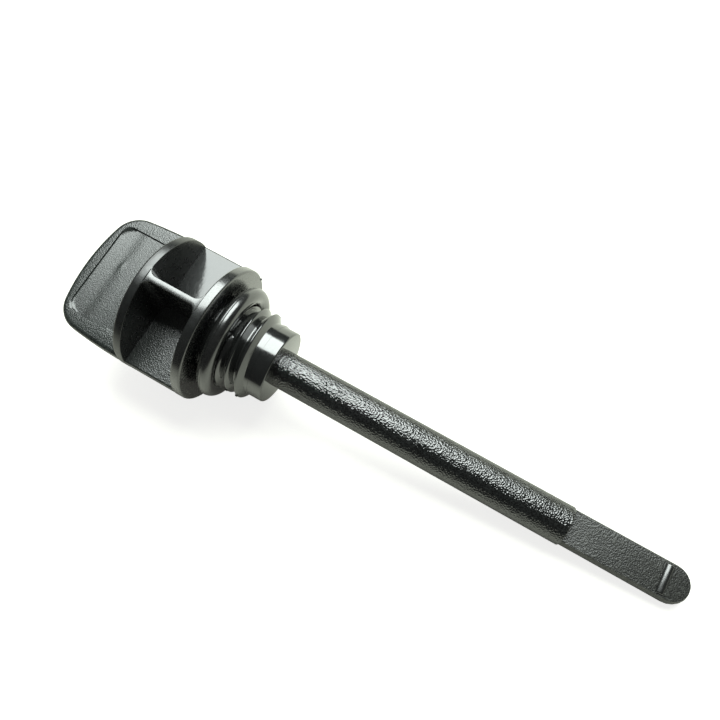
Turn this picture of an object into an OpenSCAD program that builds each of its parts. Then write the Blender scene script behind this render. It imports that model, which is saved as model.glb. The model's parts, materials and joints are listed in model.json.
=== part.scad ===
// Screw-in oil filler cap with its dipstick, for a small engine.
// The grip, the thread, the rod and the blade are one plastic moulding, and a rubber
// ring sits on its neck under the flange. The moulding's own axis is X: the flange's
// seat face is at X = 0, the rod runs towards +X and the grip towards -X, and the
// mould parts along Z = 0. It lies on the flange's rim and on the blade's tip.

/* [Flange] */
// Diameter of the flange and of the collar ring
flange_d = 32; // [28:0.5:40]
// Thickness of the flange
flange_t = 2.3; // [1.5:0.1:4]
// Rounding of the flange's outer rim and of the ring's
rim_r = 0.5; // [0.2:0.05:0.8]

/* [Finger windows] */
// Length of the windows between the flange and the collar ring
window_len = 12.6; // [8:0.2:18]
// Thickness of the rib that stands across the grip in the windows
rib_t = 1.4; // [1:0.1:3]
// Fillets where the rib meets the ring and the flange
rib_fillet = 1.8; // [0.4:0.1:2.5]
// Thickness of the collar ring
ring_t = 2.1; // [1.5:0.1:4]

/* [Grip] */
// Length of the flat grip past the collar ring
grip_len = 19.8; // [16:0.2:30]
// Thickness of the grip
grip_t = 3.3; // [2.6:0.1:4.5]
// How far the grip's edges stand in from the flange's rim
grip_step = 0.1; // [0.05:0.05:1]
// Radius in which the grip's sides draw in towards its end
grip_side_r = 110; // [60:2:200]
// Radius of the grip's bowed end
grip_end_r = 46; // [30:1:120]
// Radius of the grip's two corners
corner_r = 6.6; // [4.2:0.2:9]
// Rounding of the grip's edges
edge_r = 1.1; // [0.4:0.05:1.2]
// Depth of the panel in each face of the grip
panel_depth = 0.35; // [0.1:0.05:0.6]
// Width of the panel, across the grip
panel_width = 23.6; // [18:0.2:26]
// Radius of the panel's two corners at the bowed end
panel_corner_r = 3; // [1:0.5:5]
// Distance of the panel from the bowed end
panel_border = 2.8; // [1.6:0.1:4]
// Distance of the panel from the collar ring
panel_gap = 1.5; // [0.5:0.1:4]

/* [Neck and seal] */
// Diameter of the neck that the seal ring sits on
neck_d = 18.8; // [17:0.1:20]
// Thickness of the seal ring
seal_cord_d = 3.6; // [3:0.1:4]
// Space between the seal ring and the neck, and between it and the thread
seal_gap = 0.1; // [0.05:0.05:0.3]
// How far the loose seal ring has slid from the seat face
seal_slip = 1.1; // [0.05:0.05:1.5]

/* [Thread] */
// Outside diameter of the thread
thread_d = 20; // [19:0.1:22]
// Diameter at the bottom of the thread
thread_root_d = 16.9; // [16:0.1:18]
// Distance from one turn of the thread to the next
thread_pitch = 2.5; // [1.5:0.1:3.5]
// Number of turns
thread_turns = 3; // [2:0.25:5]
// Plain stretch between the neck and the thread
thread_relief = 0.2; // [0.2:0.1:2]
// Angle round the axis at which the thread starts
thread_start = 0; // [0:15:345]
// Width of the flat on top of the thread
thread_crest_w = 0.6; // [0.3:0.05:0.9]
// Width of the flat between two turns, at the bottom of the thread
thread_root_w = 0.2; // [0.1:0.05:0.4]

/* [Nose] */
// Diameter of the smooth nose below the thread
nose_d = 16.8; // [12:0.1:18]
// Length of the smooth nose
nose_len = 3.3; // [2:0.1:8]
// Rounding of the nose's end
nose_r = 0.4; // [0.1:0.05:1]

/* [Rod] */
// Diameter of the rod
rod_d = 8.5; // [6:0.1:11]
// Length of the round rod, from the nose to the blade
rod_len = 67.8; // [40:1:120]
// Rounding of the shoulder where the rod steps down to the blade
shoulder_r = 0.3; // [0.1:0.05:0.8]

/* [Blade] */
// Width of the blade across its rounded sides
blade_w = 7.9; // [5:0.1:8.3]
// Thickness of the blade between its two flats
blade_t = 3.8; // [2.5:0.1:4.8]
// Length of the blade, to the end of its round tip
blade_len = 26; // [16:0.5:50]
// Distance of the level mark from the tip
mark_from_tip = 5.5; // [5:0.1:9]
// Length of the level mark across the blade
mark_len = 6.2; // [2:0.1:6.4]
// Width of the level mark
mark_w = 1.8; // [1:0.1:2.4]
// Height of the level mark above the flat
mark_h = 0.5; // [0.2:0.05:0.8]

/* [Hidden] */
$fn = 96;

// How deep one form of the moulding runs into the next, so that they are one solid
bite = 0.4;
flange_r = flange_d / 2;
grip_half_w = flange_r - grip_step;

// Places along the axis, from the seat face. The thread starts where its crest has come
// clear of the seal ring, whose round section still reaches over it
window_x = -flange_t;
ring_x = window_x - window_len;
ring_top_x = ring_x - ring_t;
grip_end_x = ring_top_x - grip_len;
seal_x = seal_slip + seal_cord_d / 2;
seal_r = neck_d / 2 + seal_gap + seal_cord_d / 2;
seal_reach = sqrt(pow(seal_cord_d / 2, 2) - pow(seal_r - thread_d / 2, 2));
thread_x = round(100 * (seal_x + seal_reach + seal_gap)) / 100;
neck_end_x = thread_x - thread_relief;
thread_end_x = thread_x + thread_turns * thread_pitch;
nose_end_x = thread_end_x + nose_len;
rod_end_x = nose_end_x + rod_len;
tip_x = rod_end_x + blade_len;
tip_centre_x = tip_x - blade_w / 2;

// Half the width of the blade's flats, and the angle at which the part lies down:
// its surface touches the rim's rounding and the far edge of the lower flat
blade_flat = sqrt(pow(blade_w, 2) - pow(blade_t, 2)) / 2;
rest_drop = flange_r - rim_r - blade_t / 2;
rest_run = tip_centre_x + blade_flat + rim_r;
lie_tilt = atan2(rest_drop, rest_run) + asin(rim_r / norm([rest_drop, rest_run]));

module lying() {
    rotate([0, lie_tilt, 0]) children();
}

// Lays a shape that was made along +Z down along +X, starting at x
module along_axis(x) {
    translate([x, 0, 0]) rotate([0, 90, 0]) children();
}

// A round bar along +Z whose far edge is rounded
module round_bar(radius, length, edge) {
    rotate_extrude() {
        square([radius - edge, length]);
        square([radius, length - edge]);
        translate([radius - edge, length - edge]) circle(r = edge);
    }
}

module flange() {
    along_axis(-flange_t) round_bar(flange_r, flange_t, rim_r);
}

module collar_ring() {
    along_axis(ring_x) mirror([0, 0, 1]) round_bar(flange_r, ring_t, rim_r);
}

// The thin rib on edge, which flares where it meets the ring and the flange
module rib() {
    intersection() {
        translate([0, 0, -flange_r]) linear_extrude(2 * flange_r) {
            translate([ring_x - bite, -rib_t / 2])
                square([window_len + 2 * bite, rib_t]);
            for (side = [0, 1], end = [0, 1])
                translate([ring_x + end * window_len, 0])
                    mirror([end, 0]) mirror([0, side]) translate([0, rib_t / 2]) fillet();
        }
        along_axis(ring_x - bite) cylinder(r = flange_r, h = window_len + 2 * bite);
    }
}

module fillet() {
    difference() {
        translate([-bite, -bite]) square(rib_fillet + bite);
        translate([rib_fillet, rib_fillet]) circle(r = rib_fillet);
        translate([rib_fillet, -bite]) square([bite, bite + rib_fillet]);
    }
}

// The grip's outline is five arcs that run into each other: two sides, two corners
// and the bowed end. inset draws all of them in by the same amount
side_c = [ring_top_x, grip_half_w - grip_side_r];
bow_c = [grip_end_x + grip_end_r, 0];
corner_c = circles_cross(side_c, grip_side_r - corner_r, bow_c, grip_end_r - corner_r);
side_turn = atan2(corner_c.y - side_c.y, corner_c.x - side_c.x);
bow_turn = atan2(corner_c.y - bow_c.y, corner_c.x - bow_c.x);

// The crossing of two circles that lies to the left of the line from a to b
function circles_cross(a, ra, b, rb) =
    let (d = norm(b - a), u = (b - a) / d)
    let (along = (d * d + ra * ra - rb * rb) / (2 * d))
    a + along * u + sqrt(ra * ra - along * along) * [-u.y, u.x];

function arc(centre, radius, from, to, steps) = [
    for (i = [0:steps]) let (turn = from + (to - from) * i / steps)
        centre + radius * [cos(turn), sin(turn)]
];

function half_outline(inset) = concat(
    [[window_x + bite, grip_half_w - inset]],
    arc(side_c, grip_side_r - inset, 90, side_turn, 8),
    arc(corner_c, corner_r - inset, side_turn + 8, bow_turn - 8, 7),
    arc(bow_c, grip_end_r - inset, bow_turn, 180, 5)
);

function grip_outline(inset) =
    let (upper = half_outline(inset))
    concat(upper, [for (i = [len(upper) - 2:-1:0]) [upper[i].x, -upper[i].y]]);

// The flat grip, from its bowed end to the flange. Its layers run from the lower face
// to the upper one, and draw in towards both faces to round the edges
module grip_slab() {
    turns = [for (side = [-1, 1], i = [0:5]) side < 0 ? 18 * i - 90 : 18 * i];
    layers = [
        for (i = [0:len(turns) - 1])
            let (z = (i < 6 ? -1 : 1) * (grip_t / 2 - edge_r) + edge_r * sin(turns[i]))
            [for (p = grip_outline(edge_r * (1 - cos(turns[i])))) [p.x, p.y, z]]
    ];
    sides = len(layers[0]);
    top = (len(layers) - 1) * sides;
    polyhedron(
        points = [for (layer = layers) each layer],
        faces = concat(
            [[for (k = [0:sides - 1]) k]],
            [for (i = [0:len(layers) - 2], k = [0:sides - 1])
                let (a = i * sides + k, b = i * sides + (k + 1) % sides)
                each [[a, a + sides, b], [b, a + sides, b + sides]]],
            [[for (k = [sides - 1:-1:0]) top + k]]
        )
    );
}

module panel_pockets() {
    for (side = [0, 1])
        mirror([0, 0, side])
            translate([grip_end_x + panel_border, 0, grip_t / 2 - panel_depth])
                linear_extrude(grip_t) panel_outline();
}

module panel_outline() {
    panel_len = grip_len - panel_border - panel_gap;
    straight = panel_width - 2 * panel_corner_r;
    translate([panel_corner_r, -panel_width / 2])
        square([panel_len - panel_corner_r, panel_width]);
    translate([0, -straight / 2]) square([panel_len, straight]);
    for (side = [-1, 1])
        translate([panel_corner_r, side * straight / 2]) circle(r = panel_corner_r);
}

module grip() {
    difference() {
        grip_slab();
        panel_pockets();
    }
}

// Neck, thread core, nose and rod, one after the other along the axis
module shank() {
    along_axis(-bite) cylinder(d = neck_d, h = neck_end_x + bite);
    along_axis(0) cylinder(d = thread_root_d, h = thread_x);
    along_axis(thread_end_x) round_bar(nose_d / 2, nose_len, nose_r);
    along_axis(nose_end_x - bite) round_bar(rod_d / 2, rod_len + bite, shoulder_r);
}

// The threaded stretch, core and all. Cut square across the axis, a thread of one
// start is a cam: round the axis once, it climbs from root to crest and down again
module thread() {
    crest_half = thread_crest_w / 2;
    foot_half = (thread_pitch - thread_root_w) / 2;
    steps = 24;
    length = thread_turns * thread_pitch;
    along_axis(thread_x)
        linear_extrude(length, twist = -360 * thread_turns, $fn = 24,
                       slices = thread_turns * 20, segments = steps)
            polygon([
                for (i = [0:steps - 1])
                    let (across = abs(i / steps - 0.5) * thread_pitch)
                    let (rise = (foot_half - across) / (foot_half - crest_half))
                    let (depth = (thread_d - thread_root_d) / 2 * max(0, min(1, rise)))
                    let (turn = thread_start + 360 * i / steps)
                    (thread_root_d / 2 + depth) * [cos(turn), sin(turn)]
            ]);
}

// A round bar with a round end, cut to two flats
module blade() {
    intersection() {
        union() {
            along_axis(rod_end_x - bite)
                cylinder(d = blade_w, h = tip_centre_x - rod_end_x + bite);
            translate([tip_centre_x, 0, 0]) sphere(d = blade_w);
        }
        translate([rod_end_x - blade_w, -blade_w, -blade_t / 2])
            cube([blade_len + 2 * blade_w, 2 * blade_w, blade_t]);
    }
}

// The raised bar across the upper flat that marks the oil level
module level_mark() {
    mark_r = (pow(mark_w / 2, 2) + pow(mark_h, 2)) / (2 * mark_h);
    translate([tip_x - mark_from_tip, 0, blade_t / 2 + mark_h - mark_r])
        rotate([90, 0, 0]) cylinder(r = mark_r, h = mark_len, center = true);
}

module cap_and_rod() {
    color("#2b2d2c") lying() {
        grip();
        collar_ring();
        rib();
        flange();
        shank();
        thread();
        blade();
        level_mark();
    }
}

module seal_ring() {
    color("#161616") lying()
        along_axis(seal_x) rotate_extrude()
            translate([seal_r, 0]) circle(d = seal_cord_d);
}

cap_and_rod();
seal_ring();
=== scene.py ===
import math

import bmesh
import bpy
from mathutils import Matrix, Vector
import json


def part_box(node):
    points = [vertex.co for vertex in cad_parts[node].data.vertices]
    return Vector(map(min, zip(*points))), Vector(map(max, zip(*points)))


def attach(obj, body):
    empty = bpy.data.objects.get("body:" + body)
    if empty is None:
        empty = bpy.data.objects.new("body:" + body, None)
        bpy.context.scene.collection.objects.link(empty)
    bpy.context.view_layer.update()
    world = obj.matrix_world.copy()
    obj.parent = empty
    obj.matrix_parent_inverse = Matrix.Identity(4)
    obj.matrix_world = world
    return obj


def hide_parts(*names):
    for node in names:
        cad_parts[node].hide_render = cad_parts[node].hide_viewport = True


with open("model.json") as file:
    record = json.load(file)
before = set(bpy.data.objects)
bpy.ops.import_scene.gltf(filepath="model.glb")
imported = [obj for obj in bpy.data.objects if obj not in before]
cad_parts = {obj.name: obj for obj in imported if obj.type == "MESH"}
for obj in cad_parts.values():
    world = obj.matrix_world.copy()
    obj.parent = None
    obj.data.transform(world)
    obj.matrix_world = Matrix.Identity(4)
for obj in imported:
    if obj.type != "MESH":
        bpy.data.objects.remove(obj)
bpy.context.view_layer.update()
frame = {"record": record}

# The camera stands where the photograph was taken from: above the rod, a little to the
# side of it, and looks back at the part through a short normal lens.
camera_data = bpy.data.cameras.new("photo_camera")
camera_data.sensor_width = 36
camera_data.lens = 34.204
camera_data.clip_start = 0.01
camera_data.clip_end = 20
camera = bpy.data.objects.new("photo_camera", camera_data)
camera.location = (0.070742, -0.028259, 0.134531)
camera.rotation_euler = (math.radians(21.243), math.radians(7.0683), math.radians(29.987))
bpy.context.collection.objects.link(camera)
bpy.context.scene.camera = camera


# Grip: the flat plate that two fingers turn the cap by. It is black nylon, moulded in
# one with the rest, with rounded edges. Each face has a shallow dished panel, smoother
# than the border round it.

# The part lies on its flange's rim and its blade's tip. Every piece is modelled in
# millimetres along the cap's own axis, with the seat face at x = 0, and is then dipped
# to the axis that the thread's mount gives and brought down to metres.
thread_mount = next(m for m in frame["record"]["mounts"] if m["name"] == "thread")
axis_dip = math.atan2(-thread_mount["axis"][2], thread_mount["axis"][0])
lying = Matrix.Rotation(axis_dip, 4, "Y") @ Matrix.Scale(0.001, 4)


def finish_piece(name, mesh, material, crease=math.radians(32)):
    """Cleans a piece's mesh, lays it down, gives it its finish and ties it to the part."""
    bmesh.ops.remove_doubles(mesh, verts=mesh.verts, dist=0.002)
    bmesh.ops.recalc_face_normals(mesh, faces=mesh.faces)
    mesh.transform(lying)
    for face in mesh.faces:
        face.smooth = True
    for edge in mesh.edges:
        edge.smooth = len(edge.link_faces) == 2 and edge.calc_face_angle(0) < crease
    data = bpy.data.meshes.new(name)
    mesh.to_mesh(data)
    mesh.free()
    data.materials.append(material)
    piece = bpy.data.objects.new(name, data)
    bpy.context.collection.objects.link(piece)
    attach(piece, "root")
    return piece


def new_group(name, inputs, outputs):
    """Starts a group of shader nodes: its inputs, each with a usual value, and outputs."""
    group = bpy.data.node_groups.new(name, "ShaderNodeTree")
    for socket, value in inputs:
        made = group.interface.new_socket(socket, in_out="INPUT", socket_type="NodeSocketFloat")
        made.default_value = value
    for socket in outputs:
        group.interface.new_socket(socket, in_out="OUTPUT", socket_type="NodeSocketFloat")
    return group, group.nodes.new("NodeGroupInput"), group.nodes.new("NodeGroupOutput")


def math_node(tree, operation, first, second):
    node = tree.nodes.new("ShaderNodeMath")
    node.operation = operation
    for socket, value in zip(node.inputs, (first, second)):
        if isinstance(value, (int, float)):
            socket.default_value = value
        else:
            tree.links.new(value, socket)
    return node.outputs[0]


def noise_node(tree, place, scale, detail):
    node = tree.nodes.new("ShaderNodeTexNoise")
    node.inputs["Scale"].default_value = scale
    node.inputs["Detail"].default_value = detail
    tree.links.new(place, node.inputs["Vector"])
    return node.outputs["Fac"]


# The cavity was spark-eroded where the part is dull, which leaves a fine even grain of
# round pits, with a coarser unevenness under it and slightly paler and darker patches.
# The colour is also darker in each pit's bottom and paler on its rim: painted shade and
# painted glints.
grain, grain_in, grain_out = new_group(
    "spark_grain", [("Grain Size mm", 0.3), ("Shade And Mottle", 0.2)], ["Height", "Shade"])
place = grain.nodes.new("ShaderNodeTexCoord").outputs["Object"]
to_grain = grain.nodes.new("ShaderNodeVectorMath")
to_grain.operation = "SCALE"
grain.links.new(place, to_grain.inputs[0])
grain.links.new(math_node(grain, "DIVIDE", 1000, grain_in.outputs["Grain Size mm"]),
                to_grain.inputs["Scale"])
cells = grain.nodes.new("ShaderNodeTexVoronoi")
cells.inputs["Scale"].default_value = 1.0
grain.links.new(to_grain.outputs[0], cells.inputs["Vector"])
pits = cells.outputs["Distance"]
coarse = noise_node(grain, to_grain.outputs[0], 0.5, 2.0)
patches = noise_node(grain, place, 240, 2.0)
uneven = math_node(grain, "MULTIPLY", coarse, 0.7)
grain.links.new(math_node(grain, "ADD", pits, uneven), grain_out.inputs["Height"])
# Painted shade and glints: pit bottoms come out darker in colour and pit rims paler.
pit_shade_and_glints = math_node(grain, "SUBTRACT", pits, 0.5)
cloud = math_node(grain, "SUBTRACT", patches, 0.5)
painted_pit_shade_and_patches = math_node(grain, "ADD", math_node(grain, "MULTIPLY", pit_shade_and_glints, 3.0), cloud)
shade_and_mottle = math_node(grain, "MULTIPLY", grain_in.outputs["Shade And Mottle"], painted_pit_shade_and_patches)
grain.links.new(math_node(grain, "ADD", 1.0, shade_and_mottle), grain_out.inputs["Shade"])


def scaled_colour(tree, colour, factor):
    node = tree.nodes.new("ShaderNodeVectorMath")
    node.operation = "SCALE"
    node.inputs[0].default_value = colour
    tree.links.new(factor, node.inputs["Scale"])
    return node.outputs[0]


def grained_plastic(name, colour, grain_mm, depth_mm, roughness, shade_and_mottle, ior=1.8, smoother=0.0):
    """Black nylon against a spark-eroded cavity wall. The grain is shallower by the share
    smoother where the mesh's panel attribute is 1."""
    material = bpy.data.materials.new(name)
    material.use_nodes = True
    tree = material.node_tree
    shader = tree.nodes["Principled BSDF"]
    shader.inputs["Roughness"].default_value = roughness
    shader.inputs["IOR"].default_value = ior
    grained = tree.nodes.new("ShaderNodeGroup")
    grained.node_tree = grain
    grained.inputs["Grain Size mm"].default_value = grain_mm
    grained.inputs["Shade And Mottle"].default_value = shade_and_mottle
    # The base colour takes the grain's shade: its paler and darker patches, with painted shade in the pit
    # bottoms and painted glints on the rims.
    tree.links.new(scaled_colour(tree, colour, grained.outputs["Shade"]),
                   shader.inputs["Base Color"])
    bump = tree.nodes.new("ShaderNodeBump")
    bump.inputs["Distance"].default_value = depth_mm / 1000
    panel_face = tree.nodes.new("ShaderNodeAttribute")
    panel_face.attribute_name = "panel"
    left = math_node(tree, "SUBTRACT", 1, math_node(tree, "MULTIPLY", panel_face.outputs["Fac"], smoother))
    tree.links.new(math_node(tree, "MULTIPLY", grained.outputs["Height"], left), bump.inputs["Height"])
    tree.links.new(bump.outputs["Normal"], shader.inputs["Normal"])
    return material


# The grained flats are painted paler and greener than the rod's black: a painted sheen of the softbox on
# their grain.
sheen_painted_grey_black = (0.022, 0.026, 0.0235)
grip_plastic = grained_plastic("grained_grip", sheen_painted_grey_black, grain_mm=0.27, depth_mm=0.035, roughness=0.27,
                               shade_and_mottle=0.6, ior=1.75, smoother=0.6)
grip_thick = 3.3
grip_half_width = 15.9
grip_end_x = -36.79
collar_back_x = -17.0
side_radius = 110
end_radius = 46
corner_radius = 6.6
edge_round = 1.1
grip_run_on = 15
grip_root = 0.6
side_middle = Vector((collar_back_x, grip_half_width - side_radius, 0))
end_middle = Vector((grip_end_x + end_radius, 0, 0))
gap = end_middle - side_middle
to_side = side_radius - corner_radius
to_end = end_radius - corner_radius
along = (gap.length_squared + to_side ** 2 - to_end ** 2) / (2 * gap.length)
corner_middle = (side_middle + gap.normalized() * along
                 + Vector((-gap.y, gap.x, 0)).normalized() * math.sqrt(to_side ** 2 - along ** 2))
side_turn = (corner_middle - side_middle).angle(Vector((0, 1, 0)))
end_turn = (corner_middle - end_middle).angle(Vector((-1, 0, 0)))
corner_turn = math.pi / 2 - side_turn - end_turn

plate = bmesh.new()
first = plate.verts.new((collar_back_x + grip_run_on, grip_half_width, 0))
corner = plate.verts.new((collar_back_x, grip_half_width, 0))
plate.edges.new((first, corner))
for middle, angle, steps in ((side_middle, side_turn, 10), (corner_middle, corner_turn, 14),
                             (end_middle, end_turn, 10)):
    swept = bmesh.ops.spin(plate, geom=[corner], cent=middle, axis=(0, 0, 1), angle=angle,
                           steps=steps, use_duplicate=False)
    corner = swept["geom_last"][0]
bmesh.ops.mirror(plate, geom=plate.verts[:] + plate.edges[:], axis="Y", merge_dist=0.001)
bmesh.ops.remove_doubles(plate, verts=plate.verts, dist=0.001)
ends = [v for v in plate.verts if len(v.link_edges) == 1]
plate.edges.new(ends)
bmesh.ops.contextual_create(plate, geom=plate.edges)
bmesh.ops.translate(plate, verts=plate.verts, vec=(0, 0, -grip_thick / 2))
raised = bmesh.ops.extrude_face_region(plate, geom=plate.faces[:])
bmesh.ops.translate(plate, vec=(0, 0, grip_thick),
                    verts=[v for v in raised["geom"] if isinstance(v, bmesh.types.BMVert)])
bmesh.ops.recalc_face_normals(plate, faces=plate.faces)
rims = [e for e in plate.edges if abs(e.verts[0].co.z - e.verts[1].co.z) < 0.01]
bmesh.ops.bevel(plate, geom=rims, offset=edge_round, offset_type="OFFSET", affect="EDGES",
                segments=7, profile=0.5, material=-1, clamp_overlap=True)

# The panel is cut into a fine grid, closest at its wall, and its points are then sunk to
# a dish, which is deepest at its middle. A low step runs across the dish, nearer to the
# panel's end, and a faint swell lies slantwise in it.
panel_end_x = -34.0
panel_half_width = 11.8
panel_corner = 3.0
panel_wall = 0.24
wall_depth = 0.06
dish_depth = 0.55
dish_middle = 7.5
dish_reach = 10
step_rise = 0.2
step_place = 4.9
step_slope = 0.6
swell_x = -29
swell_y = 2.3
swell_height = 0.09
swell_width = 0.45
swell_length = 1.3
wall_cuts = (-0.05, 0, 0.04, 0.08, 0.12, 0.16, 0.2, 0.24, 0.5)
grid_step = 0.4
grid_along = tuple(grid_step * k for k in range(2, 43))
grid_across = tuple(grid_step * k for k in range(2, 30))
panel_mask = plate.verts.layers.float.new("panel")
for face in [f for f in plate.faces if abs(f.normal.z) > 0.99 and f.calc_area() > 200]:
    way = math.copysign(1, face.normal.z)
    panel = [face] + face.edges[:] + face.verts[:]
    cuts = [(Vector((panel_end_x + d, 0, 0)), Vector((1, 0, 0)))
            for d in wall_cuts + grid_along]
    cuts += [(Vector((0, side * (panel_half_width - d), 0)), Vector((0, 1, 0)))
             for side in (1, -1) for d in wall_cuts + grid_across]
    for spot, normal in cuts:
        panel = bmesh.ops.bisect_plane(plate, geom=panel, plane_co=spot, plane_no=normal)["geom"]
    for v in [v for v in panel if isinstance(v, bmesh.types.BMVert)]:
        inside = Vector((v.co.x - panel_end_x, panel_half_width - abs(v.co.y)))
        if min(inside) <= 0:
            continue
        depth = min(inside)
        if max(inside) < panel_corner:
            from_corner = Vector((panel_corner, panel_corner)) - inside
            depth = max(0, panel_corner - from_corner.length)
        wall = min(1, depth / panel_wall)
        wall = wall * wall * (3 - 2 * wall)
        dish = dish_depth * (1 - ((inside.x - dish_middle) / dish_reach) ** 2)
        step = step_rise / (1 + math.exp((step_place - inside.x) / step_slope))
        past_swell = v.co.x - swell_x
        beside_swell = v.co.y - swell_y - past_swell
        swell = swell_height * math.exp(-(past_swell / swell_width) ** 2
                                        - (beside_swell / swell_length) ** 2)
        v.co.z -= way * wall * (wall_depth + dish - step - swell)
        v[panel_mask] = wall
cut = bmesh.ops.bisect_plane(plate, geom=plate.verts[:] + plate.edges[:] + plate.faces[:],
                             plane_co=(collar_back_x + grip_root, 0, 0), plane_no=(1, 0, 0),
                             clear_outer=True)
bmesh.ops.contextual_create(plate, geom=[e for e in cut["geom_cut"]
                                         if isinstance(e, bmesh.types.BMEdge)])
grip = finish_piece("grip", plate, grip_plastic)
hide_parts("cap_and_rod")


# Collar: the ring and the flange that stand round the plate. They are black nylon too,
# moulded in one with the grip against polished steel, with rounded rims. The flange has
# two small lumps of flash where the halves of the mould met.
def turned(mesh, corners, steps=160, rounding_steps=6):
    """Turns a profile once round the axis. A corner is (x, radius, rounding)."""
    line = []
    spots = [Vector((x, 0, r)) for x, r, size in corners]
    for i, (x, r, size) in enumerate(corners):
        if size == 0:
            line.append(spots[i])
            continue
        to_last = (spots[i - 1] - spots[i]).normalized()
        to_next = (spots[i + 1] - spots[i]).normalized()
        half = to_last.angle(to_next) / 2
        middle = spots[i] + (to_last + to_next).normalized() * size / math.sin(half)
        spoke = spots[i] + to_last * size / math.tan(half) - middle
        hinge = to_next.cross(to_last)
        line += [middle + Matrix.Rotation((math.pi - 2 * half) * k / rounding_steps, 3, hinge) @ spoke
                 for k in range(rounding_steps + 1)]
    points = [mesh.verts.new(spot) for spot in line]
    edges = [mesh.edges.new(pair) for pair in zip(points, points[1:])]
    bmesh.ops.spin(mesh, geom=points + edges, cent=(0, 0, 0), axis=(1, 0, 0),
                   angle=math.tau, steps=steps, use_merge=True, use_duplicate=False)


# The cavity was polished where the part shines, which leaves a slight waviness and a
# faint smear of duller patches.
polish, polish_in, polish_out = new_group(
    "mould_polish", [("Roughness", 0.2)], ["Roughness", "Shade", "Height"])
place = polish.nodes.new("ShaderNodeTexCoord").outputs["Object"]
smear = noise_node(polish, place, 900, 3.0)
least_rough = math_node(polish, "MULTIPLY", polish_in.outputs["Roughness"], 0.6)
rough_range = math_node(polish, "MULTIPLY", polish_in.outputs["Roughness"], 0.8)
dull_patches = math_node(polish, "MULTIPLY", smear, rough_range)
polish.links.new(math_node(polish, "ADD", least_rough, dull_patches), polish_out.inputs["Roughness"])
shade_range = math_node(polish, "MULTIPLY", smear, 0.4)
polish.links.new(math_node(polish, "ADD", 0.8, shade_range), polish_out.inputs["Shade"])
polish.links.new(noise_node(polish, place, 1600, 3.0), polish_out.inputs["Height"])


def polished_plastic(name, colour, roughness, wave_mm, gloss=1.0):
    """Black nylon or rubber against a polished cavity wall."""
    material = bpy.data.materials.new(name)
    material.use_nodes = True
    tree = material.node_tree
    shader = tree.nodes["Principled BSDF"]
    shader.inputs["IOR"].default_value = 1.8
    shader.inputs["Coat Weight"].default_value = gloss
    shader.inputs["Coat Roughness"].default_value = roughness * 0.7
    shader.inputs["Coat IOR"].default_value = 1.6
    polished = tree.nodes.new("ShaderNodeGroup")
    polished.node_tree = polish
    polished.inputs["Roughness"].default_value = roughness
    tree.links.new(polished.outputs["Roughness"], shader.inputs["Roughness"])
    tree.links.new(scaled_colour(tree, colour, polished.outputs["Shade"]), shader.inputs["Base Color"])
    bump = tree.nodes.new("ShaderNodeBump")
    bump.inputs["Distance"].default_value = wave_mm / 1000
    tree.links.new(polished.outputs["Height"], bump.inputs["Height"])
    tree.links.new(bump.outputs["Normal"], shader.inputs["Normal"])
    return material


deep_black = (0.01, 0.011, 0.0105)
collar_plastic = polished_plastic("polished_collar", deep_black, roughness=0.3, wave_mm=0.003, gloss=0.0)
flange_plastic = polished_plastic("polished_flange", deep_black, roughness=0.26, wave_mm=0.003)
collar_radius = 15.995
rim_round = 0.5
ring_front_round = 0.15
flange_back_round = 0.3
ring_front_x = -14.9
flange_back_x = -2.3
ring = bmesh.new()
turned(ring, [(collar_back_x, 0, 0), (collar_back_x, collar_radius, rim_round),
              (ring_front_x, collar_radius, ring_front_round), (ring_front_x, 0, 0)])
flange = bmesh.new()
turned(flange, [(flange_back_x, 0, 0), (flange_back_x, collar_radius, flange_back_round),
                (0, collar_radius, rim_round), (0, 0, 0)])
for nub_x, nub_y, nub_size in ((-2.3, -15.62, 0.37), (-0.05, 15.7, 0.28)):
    bmesh.ops.create_icosphere(flange, subdivisions=3, radius=nub_size,
                               matrix=Matrix.Translation((nub_x, nub_y, 0)))
for name, mesh, plastic in (("collar_ring", ring, collar_plastic),
                            ("flange_rim", flange, flange_plastic)):
    disc_piece = finish_piece(name, mesh, plastic)
    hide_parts("cap_and_rod")


# Window plate: the grip's own plate, which goes on between the ring and the flange and
# is moulded in one with them. One half of it is polished like the collar, and the other
# is as grained as the grip.
window_grain = grained_plastic("grained_window_plate", sheen_painted_grey_black, grain_mm=0.27, depth_mm=0.04,
                               roughness=0.32, shade_and_mottle=0.6, ior=2.1)
window_plastic = polished_plastic("polished_window_plate", deep_black, roughness=0.14, wave_mm=0.012,
                                  gloss=0.0)
window_end_overlap = 0.5
window_middle_overlap = 0.2
window_rim_round = 0.5
for name, way, plastic in (("window_plate_polished", 1, window_plastic),
                           ("window_plate_grained", -1, window_grain)):
    window_plate = bmesh.new()
    bmesh.ops.create_cube(window_plate, size=1)
    bmesh.ops.scale(window_plate, verts=window_plate.verts,
                    vec=(flange_back_x - ring_front_x + 2 * window_end_overlap,
                         grip_half_width + window_middle_overlap, grip_thick))
    bmesh.ops.translate(window_plate, verts=window_plate.verts,
                        vec=((flange_back_x + ring_front_x) / 2,
                             way * (grip_half_width - window_middle_overlap) / 2, 0))
    outer_rims = [e for e in window_plate.edges
                  if all(abs(v.co.y) > grip_half_width - window_rim_round for v in e.verts)
                  and abs(e.verts[0].co.z - e.verts[1].co.z) < 0.01]
    bmesh.ops.bevel(window_plate, geom=outer_rims, offset=window_rim_round, offset_type="OFFSET",
                    affect="EDGES", segments=6, profile=0.5, material=-1, clamp_overlap=True)
    window_piece = finish_piece(name, window_plate, plastic)
    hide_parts("cap_and_rod")


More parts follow.
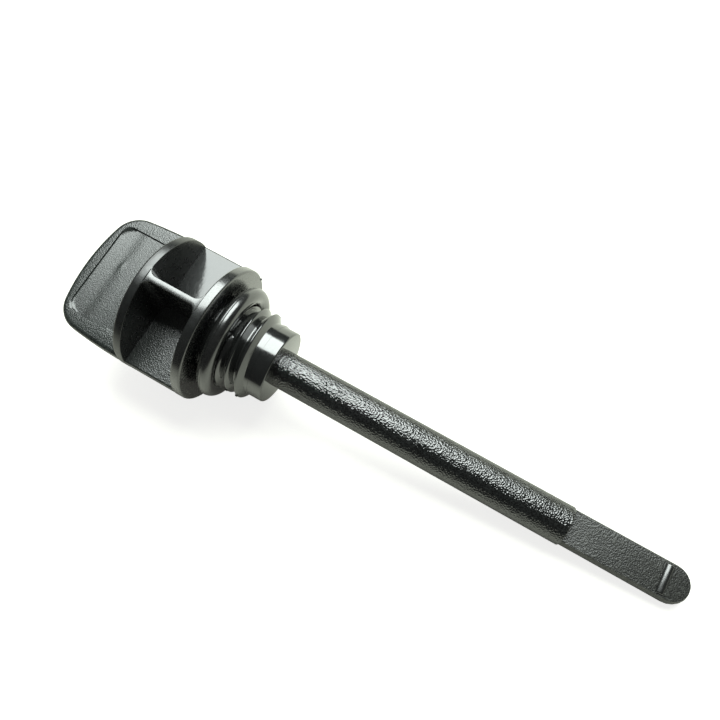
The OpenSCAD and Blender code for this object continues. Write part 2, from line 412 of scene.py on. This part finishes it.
# Rib: the thin wall on edge that crosses the plate, between the ring and the flange. It
# is black nylon, moulded in one with them, and flares out where it meets them. It parts
# the four windows that the fingertips reach into.
rib_thick = 1.4
rib_flare = 1.8
rib_root = 0.6
rib_root_sink = 0.6
rib_edge_sink = 0.015
rib_edge_round = 0.12
rib = bmesh.new()
half_thick = rib_thick / 2
inner = rib.verts.new((ring_front_x - rib_root, half_thick + rib_flare, 0))
foot = rib.verts.new((ring_front_x, half_thick + rib_flare, 0))
rib.edges.new((inner, foot))
flare_middle = Vector((ring_front_x + rib_flare, half_thick + rib_flare, 0))
swept = bmesh.ops.spin(rib, geom=[foot], cent=flare_middle, axis=(0, 0, 1), angle=math.pi / 2,
                       steps=8, use_duplicate=False)
waist = swept["geom_last"][0]
far_foot = rib.verts.new((flange_back_x - rib_flare, half_thick, 0))
rib.edges.new((waist, far_foot))
flare_middle.x = flange_back_x - rib_flare
swept = bmesh.ops.spin(rib, geom=[far_foot], cent=flare_middle, axis=(0, 0, 1),
                       angle=math.pi / 2, steps=8, use_duplicate=False)
outer = rib.verts.new((flange_back_x + rib_root, half_thick + rib_flare, 0))
rib.edges.new((swept["geom_last"][0], outer))
bmesh.ops.mirror(rib, geom=rib.verts[:] + rib.edges[:], axis="Y", merge_dist=0.0001)
for x in (inner.co.x, outer.co.x):
    rib.edges.new([v for v in rib.verts if abs(v.co.x - x) < 0.001 and len(v.link_edges) == 1])
bmesh.ops.contextual_create(rib, geom=rib.edges)

# The outline gets a copy just above it, and the two then move down and up to the round
# rims of the collar.
raised = bmesh.ops.extrude_face_region(rib, geom=rib.faces[:])
bmesh.ops.translate(rib, vec=(0, 0, 1),
                    verts=[v for v in raised["geom"] if isinstance(v, bmesh.types.BMVert)])
for v in rib.verts:
    buried = v.co.x < ring_front_x - 0.1 or v.co.x > flange_back_x + 0.1
    reach = collar_radius - (rib_root_sink if buried else rib_edge_sink)
    v.co.z = math.copysign(math.sqrt(reach ** 2 - v.co.y ** 2), v.co.z - 0.5)
bmesh.ops.recalc_face_normals(rib, faces=rib.faces)
strip_rims = [e for e in rib.edges if abs(e.verts[0].co.z - e.verts[1].co.z) < 4
              and ring_front_x - 0.01 < min(v.co.x for v in e.verts)
              and max(v.co.x for v in e.verts) < flange_back_x + 0.01]
bmesh.ops.bevel(rib, geom=strip_rims, offset=rib_edge_round, offset_type="OFFSET", affect="EDGES",
                segments=4, profile=0.5, material=-1, clamp_overlap=True)
rib_piece = finish_piece("rib", rib, flange_plastic)
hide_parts("cap_and_rod")


# Neck, thread and nose: the shank of black nylon that screws into the filler hole,
# moulded in one with the cap. Its coarse right-handed thread runs in from nothing and out
# again, and the smooth nose leads it into the hole. A few lumps of flash stand on both.
thread_plastic = polished_plastic("polished_thread", deep_black, roughness=0.17, wave_mm=0.006)
thread_x = 4.24
thread_pitch = 2.5
thread_radius = 10
root_radius = 8.45
sunk_radius = root_radius - 0.06
crest_width = 0.6
root_width = 0.2
neck_radius = 9.4
neck_root_x = -0.3
neck_end_x = thread_x - 0.2
neck_round = 0.15
nose_start_x = 11.74
nose_end_x = 15.04
nose_radius = 8.4
nose_round = 0.4
shank = bmesh.new()
turned(shank, [(neck_root_x, 0, 0), (neck_root_x, neck_radius, 0), (neck_end_x, neck_radius, neck_round),
               (neck_end_x, root_radius, 0), (nose_start_x, root_radius, 0),
               (nose_start_x, nose_radius, 0), (nose_end_x, nose_radius, nose_round), (nose_end_x, 0, 0)])
run_turns = 0.22
all_turns = 2.8
ridge_steps = 64
flank_foot = (thread_pitch - root_width) / 2

# Half of the ridge's outline, from its foot, just under the root, to its rounded crest.
half_profile = [(flank_foot + 0.05, sunk_radius), (crest_width / 2, thread_radius - 0.22),
                (0.17, thread_radius - 0.07), (0.06, thread_radius)]
ridge_profile = [(-x, radius) for x, radius in half_profile] + half_profile[::-1]
ridge = bmesh.new()
points = [ridge.verts.new((thread_x + x, 0, radius)) for x, radius in ridge_profile]
face = ridge.faces.new(points)
bmesh.ops.spin(ridge, geom=[face], cent=(0, 0, 0), axis=(1, 0, 0), angle=math.tau * all_turns,
               dvec=(thread_pitch / ridge_steps, 0, 0), steps=round(ridge_steps * all_turns),
               use_duplicate=False)
for v in ridge.verts:
    part_turn = math.atan2(-v.co.y, v.co.z) / math.tau
    turns = part_turn + round((v.co.x - thread_x) / thread_pitch - part_turn)
    out = min(1, max(0, turns / run_turns), max(0, (all_turns - turns) / run_turns))
    radius = math.hypot(v.co.y, v.co.z)
    wanted = sunk_radius + (radius - sunk_radius) * math.sin(out * math.pi / 2)
    v.co.y *= wanted / radius
    v.co.z *= wanted / radius
for nub_x, nub_y, nub_size in ((9.87, -9.9, 0.38), (7.37, -9.95, 0.32), (8.6, 9.95, 0.22),
                               (14.6, 8.35, 0.28)):
    bmesh.ops.create_icosphere(ridge, subdivisions=3, radius=nub_size,
                               matrix=Matrix.Translation((nub_x, nub_y, 0)))
bmesh.ops.recalc_face_normals(ridge, faces=ridge.faces)
shank_piece = finish_piece("neck_and_nose", shank, thread_plastic)
ridge_piece = finish_piece("thread", ridge, thread_plastic, crease=math.radians(50))
for piece in (shank_piece, ridge_piece):
    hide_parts("cap_and_rod")


# Rod: the long round stem of black nylon that carries the blade down into the oil. It
# is moulded in one with the cap, against a spark-eroded wall, so its highlight breaks up
# into specks, and its colour carries the grain's painted shade and painted glints in the pits.
rod_plastic = grained_plastic("grained_rod", deep_black, grain_mm=0.38, depth_mm=0.115, roughness=0.12,
                              shade_and_mottle=0.8, ior=2.0)
rod_radius = 4.25
rod_root_x = nose_end_x - 0.3
rod_end_x = 82.84
rod_end_round = 0.3
rod = bmesh.new()
turned(rod, [(rod_root_x, 0, 0), (rod_root_x, rod_radius, 0),
             (rod_end_x, rod_radius, rod_end_round), (rod_end_x, 0, 0)], steps=96)
rod_piece = finish_piece("rod", rod, rod_plastic)
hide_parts("cap_and_rod")


# Blade: the end of the rod that is wiped and read. It is the same black nylon, moulded
# in one with the rod, with two grained flats and a round tip.
# The blade's flats are painted paler than the rod's black: a painted sheen of the softbox on their grain.
blade_plastic = grained_plastic("grained_blade", (0.026, 0.027, 0.024), grain_mm=0.32, depth_mm=0.06,
                                roughness=0.36, shade_and_mottle=0.9, ior=1.6)
blade_radius = 3.95
blade_half_thick = 1.9
blade_root_x = rod_end_x - 0.4
tip_x = 108.84
flat_rim_round = 0.3
blade = bmesh.new()
turned(blade, [(blade_root_x, 0, 0), (blade_root_x, blade_radius, 0),
               (tip_x, blade_radius, blade_radius - 0.001), (tip_x, 0, 0)], steps=96)
bmesh.ops.remove_doubles(blade, verts=blade.verts, dist=0.005)
for way in (1, -1):
    cut = bmesh.ops.bisect_plane(blade, geom=blade.verts[:] + blade.edges[:] + blade.faces[:],
                                 plane_co=(0, 0, way * blade_half_thick), plane_no=(0, 0, way),
                                 clear_outer=True)
    rim = [e for e in cut["geom_cut"] if isinstance(e, bmesh.types.BMEdge)]
    bmesh.ops.contextual_create(blade, geom=rim)
bmesh.ops.recalc_face_normals(blade, faces=blade.faces)
flat_rims = [e for e in blade.edges if len(e.link_faces) == 2
             and all(abs(abs(v.co.z) - blade_half_thick) < 0.01 for v in e.verts)]
bmesh.ops.bevel(blade, geom=flat_rims, offset=flat_rim_round, offset_type="OFFSET", affect="EDGES",
                segments=4, profile=0.5, material=-1, clamp_overlap=True)
blade_piece = finish_piece("blade", blade, blade_plastic)
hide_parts("cap_and_rod")


# Level mark: the smooth rounded bar that stands across the blade's upper flat and shows
# how high the oil should reach. It is moulded in one with the blade.
mark_plastic = polished_plastic("smooth_mark", (0.01, 0.011, 0.01), roughness=0.32, wave_mm=0.004)
mark_x = 103.34
mark_height = 0.5
mark_width = 1.8
mark_length = 6.2
mark_end_round = 0.3
mark_radius = ((mark_width / 2) ** 2 + mark_height ** 2) / (2 * mark_height)
mark = bmesh.new()
bmesh.ops.create_cone(mark, cap_ends=True, segments=64, radius1=mark_radius,
                      radius2=mark_radius, depth=mark_length)
bmesh.ops.rotate(mark, verts=mark.verts, cent=(0, 0, 0), matrix=Matrix.Rotation(math.pi / 2, 3, "X"))
bmesh.ops.bevel(mark, geom=[e for e in mark.edges if abs(e.verts[0].co.y - e.verts[1].co.y) < 0.01],
                offset=mark_end_round, offset_type="OFFSET", affect="EDGES", segments=4,
                profile=0.5, material=-1, clamp_overlap=True)
bmesh.ops.translate(mark, verts=mark.verts,
                    vec=(mark_x, 0, blade_half_thick + mark_height - mark_radius))
mark_piece = finish_piece("level_mark", mark, mark_plastic)
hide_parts("cap_and_rod")


# Seal ring: a ring of oily black rubber, of round section. It is moulded between two
# halves, so a fine raised line runs round its outside, and it lies loose on the neck, a
# little askew.
seal_rubber = polished_plastic("oily_rubber", (0.01, 0.0105, 0.01), roughness=0.24, wave_mm=0.003)
seal_x = 2.9
seal_cord = 3.6
seal_turn_radius = 11.3
seal_line_height = 0.05
seal_slant = math.radians(1.2)
seal = bmesh.new()
bmesh.ops.create_circle(seal, segments=144, radius=seal_cord / 2)
bmesh.ops.rotate(seal, verts=seal.verts, cent=(0, 0, 0), matrix=Matrix.Rotation(math.pi / 2, 3, "X"))
for v in seal.verts:
    if v.co.z > seal_cord / 2 - 0.001:
        v.co.z += seal_line_height
bmesh.ops.translate(seal, verts=seal.verts, vec=(seal_x, 0, seal_turn_radius))
bmesh.ops.spin(seal, geom=seal.verts[:] + seal.edges[:], cent=(0, 0, 0), axis=(1, 0, 0),
               angle=math.tau, steps=160, use_merge=True, use_duplicate=False)
bmesh.ops.rotate(seal, verts=seal.verts, cent=(seal_x, 0, 0), matrix=Matrix.Rotation(seal_slant, 3, "Z"))
seal_piece = finish_piece("seal_ring_dressed", seal, seal_rubber)
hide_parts("seal_ring")


# Setting: a wide sheet of pale paper under the part, and one softbox overhead, to the
# side of the rod that lies away from the camera. The paper and the sky glow white for
# the camera, and only faintly for the part.
floor_reach = 2.5
floor_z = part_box("cap_and_rod")[0][2]
floor_mesh = bmesh.new()
bmesh.ops.create_grid(floor_mesh, x_segments=1, y_segments=1, size=floor_reach)
bmesh.ops.translate(floor_mesh, verts=floor_mesh.verts, vec=(0, 0, floor_z))
floor_data = bpy.data.meshes.new("floor")
floor_mesh.to_mesh(floor_data)
floor_mesh.free()
floor = bpy.data.objects.new("floor", floor_data)
bpy.context.collection.objects.link(floor)
paper = bpy.data.materials.new("pale_paper")
paper.use_nodes = True
paper_shader = paper.node_tree.nodes["Principled BSDF"]
paper_shader.inputs["Base Color"].default_value = (0.62, 0.62, 0.54, 1)
paper_shader.inputs["Roughness"].default_value = 0.9
paper_shader.inputs["Specular IOR Level"].default_value = 0.1
paper_shader.inputs["Emission Color"].default_value = (1, 1, 1, 1)
tree = paper.node_tree
seen = tree.nodes.new("ShaderNodeLightPath")
mirrored = math_node(tree, "MAXIMUM", seen.outputs["Is Glossy Ray"], seen.outputs["Is Transmission Ray"])
tree.links.new(math_node(tree, "ADD", math_node(tree, "MULTIPLY", seen.outputs["Is Camera Ray"], 0.76),
                         math_node(tree, "MULTIPLY", mirrored, 0.02)),
               paper_shader.inputs["Emission Strength"])
floor_data.materials.append(paper)

softbox_data = bpy.data.lights.new("softbox", "AREA")
softbox_data.shape = "RECTANGLE"
softbox_data.size = 0.52
softbox_data.size_y = 0.44
softbox_data.energy = 5.4
softbox_data.color = (0.93, 1.0, 0.97)
softbox = bpy.data.objects.new("softbox", softbox_data)
to_light = (lying.to_3x3() @ Vector((-0.326, 0.558, 0.763))).normalized()
long_side = (lying.to_3x3() @ Vector((0, 0.84, -0.54))).normalized()
across = long_side.cross(to_light).normalized()
long_side = to_light.cross(across)
softbox_far = 0.5
softbox_shift = 0.1
softbox.matrix_world = Matrix.Translation(to_light * softbox_far + across * softbox_shift) @ Matrix(
    (across, long_side, to_light)).transposed().to_4x4()
bpy.context.collection.objects.link(softbox)

world = bpy.data.worlds.new("pale_studio")
world.use_nodes = True
bpy.context.scene.world = world
sky = world.node_tree
ray = sky.nodes.new("ShaderNodeLightPath")
level = math_node(sky, "ADD", math_node(sky, "MULTIPLY", ray.outputs["Is Diffuse Ray"], 0.16), 0.04)
sky.links.new(math_node(sky, "MAXIMUM", ray.outputs["Is Camera Ray"], level),
              sky.nodes["Background"].inputs["Strength"])
sky.nodes["Background"].inputs["Color"].default_value = (1, 1, 1, 1)
bpy.context.scene.view_settings.view_transform = "Standard"
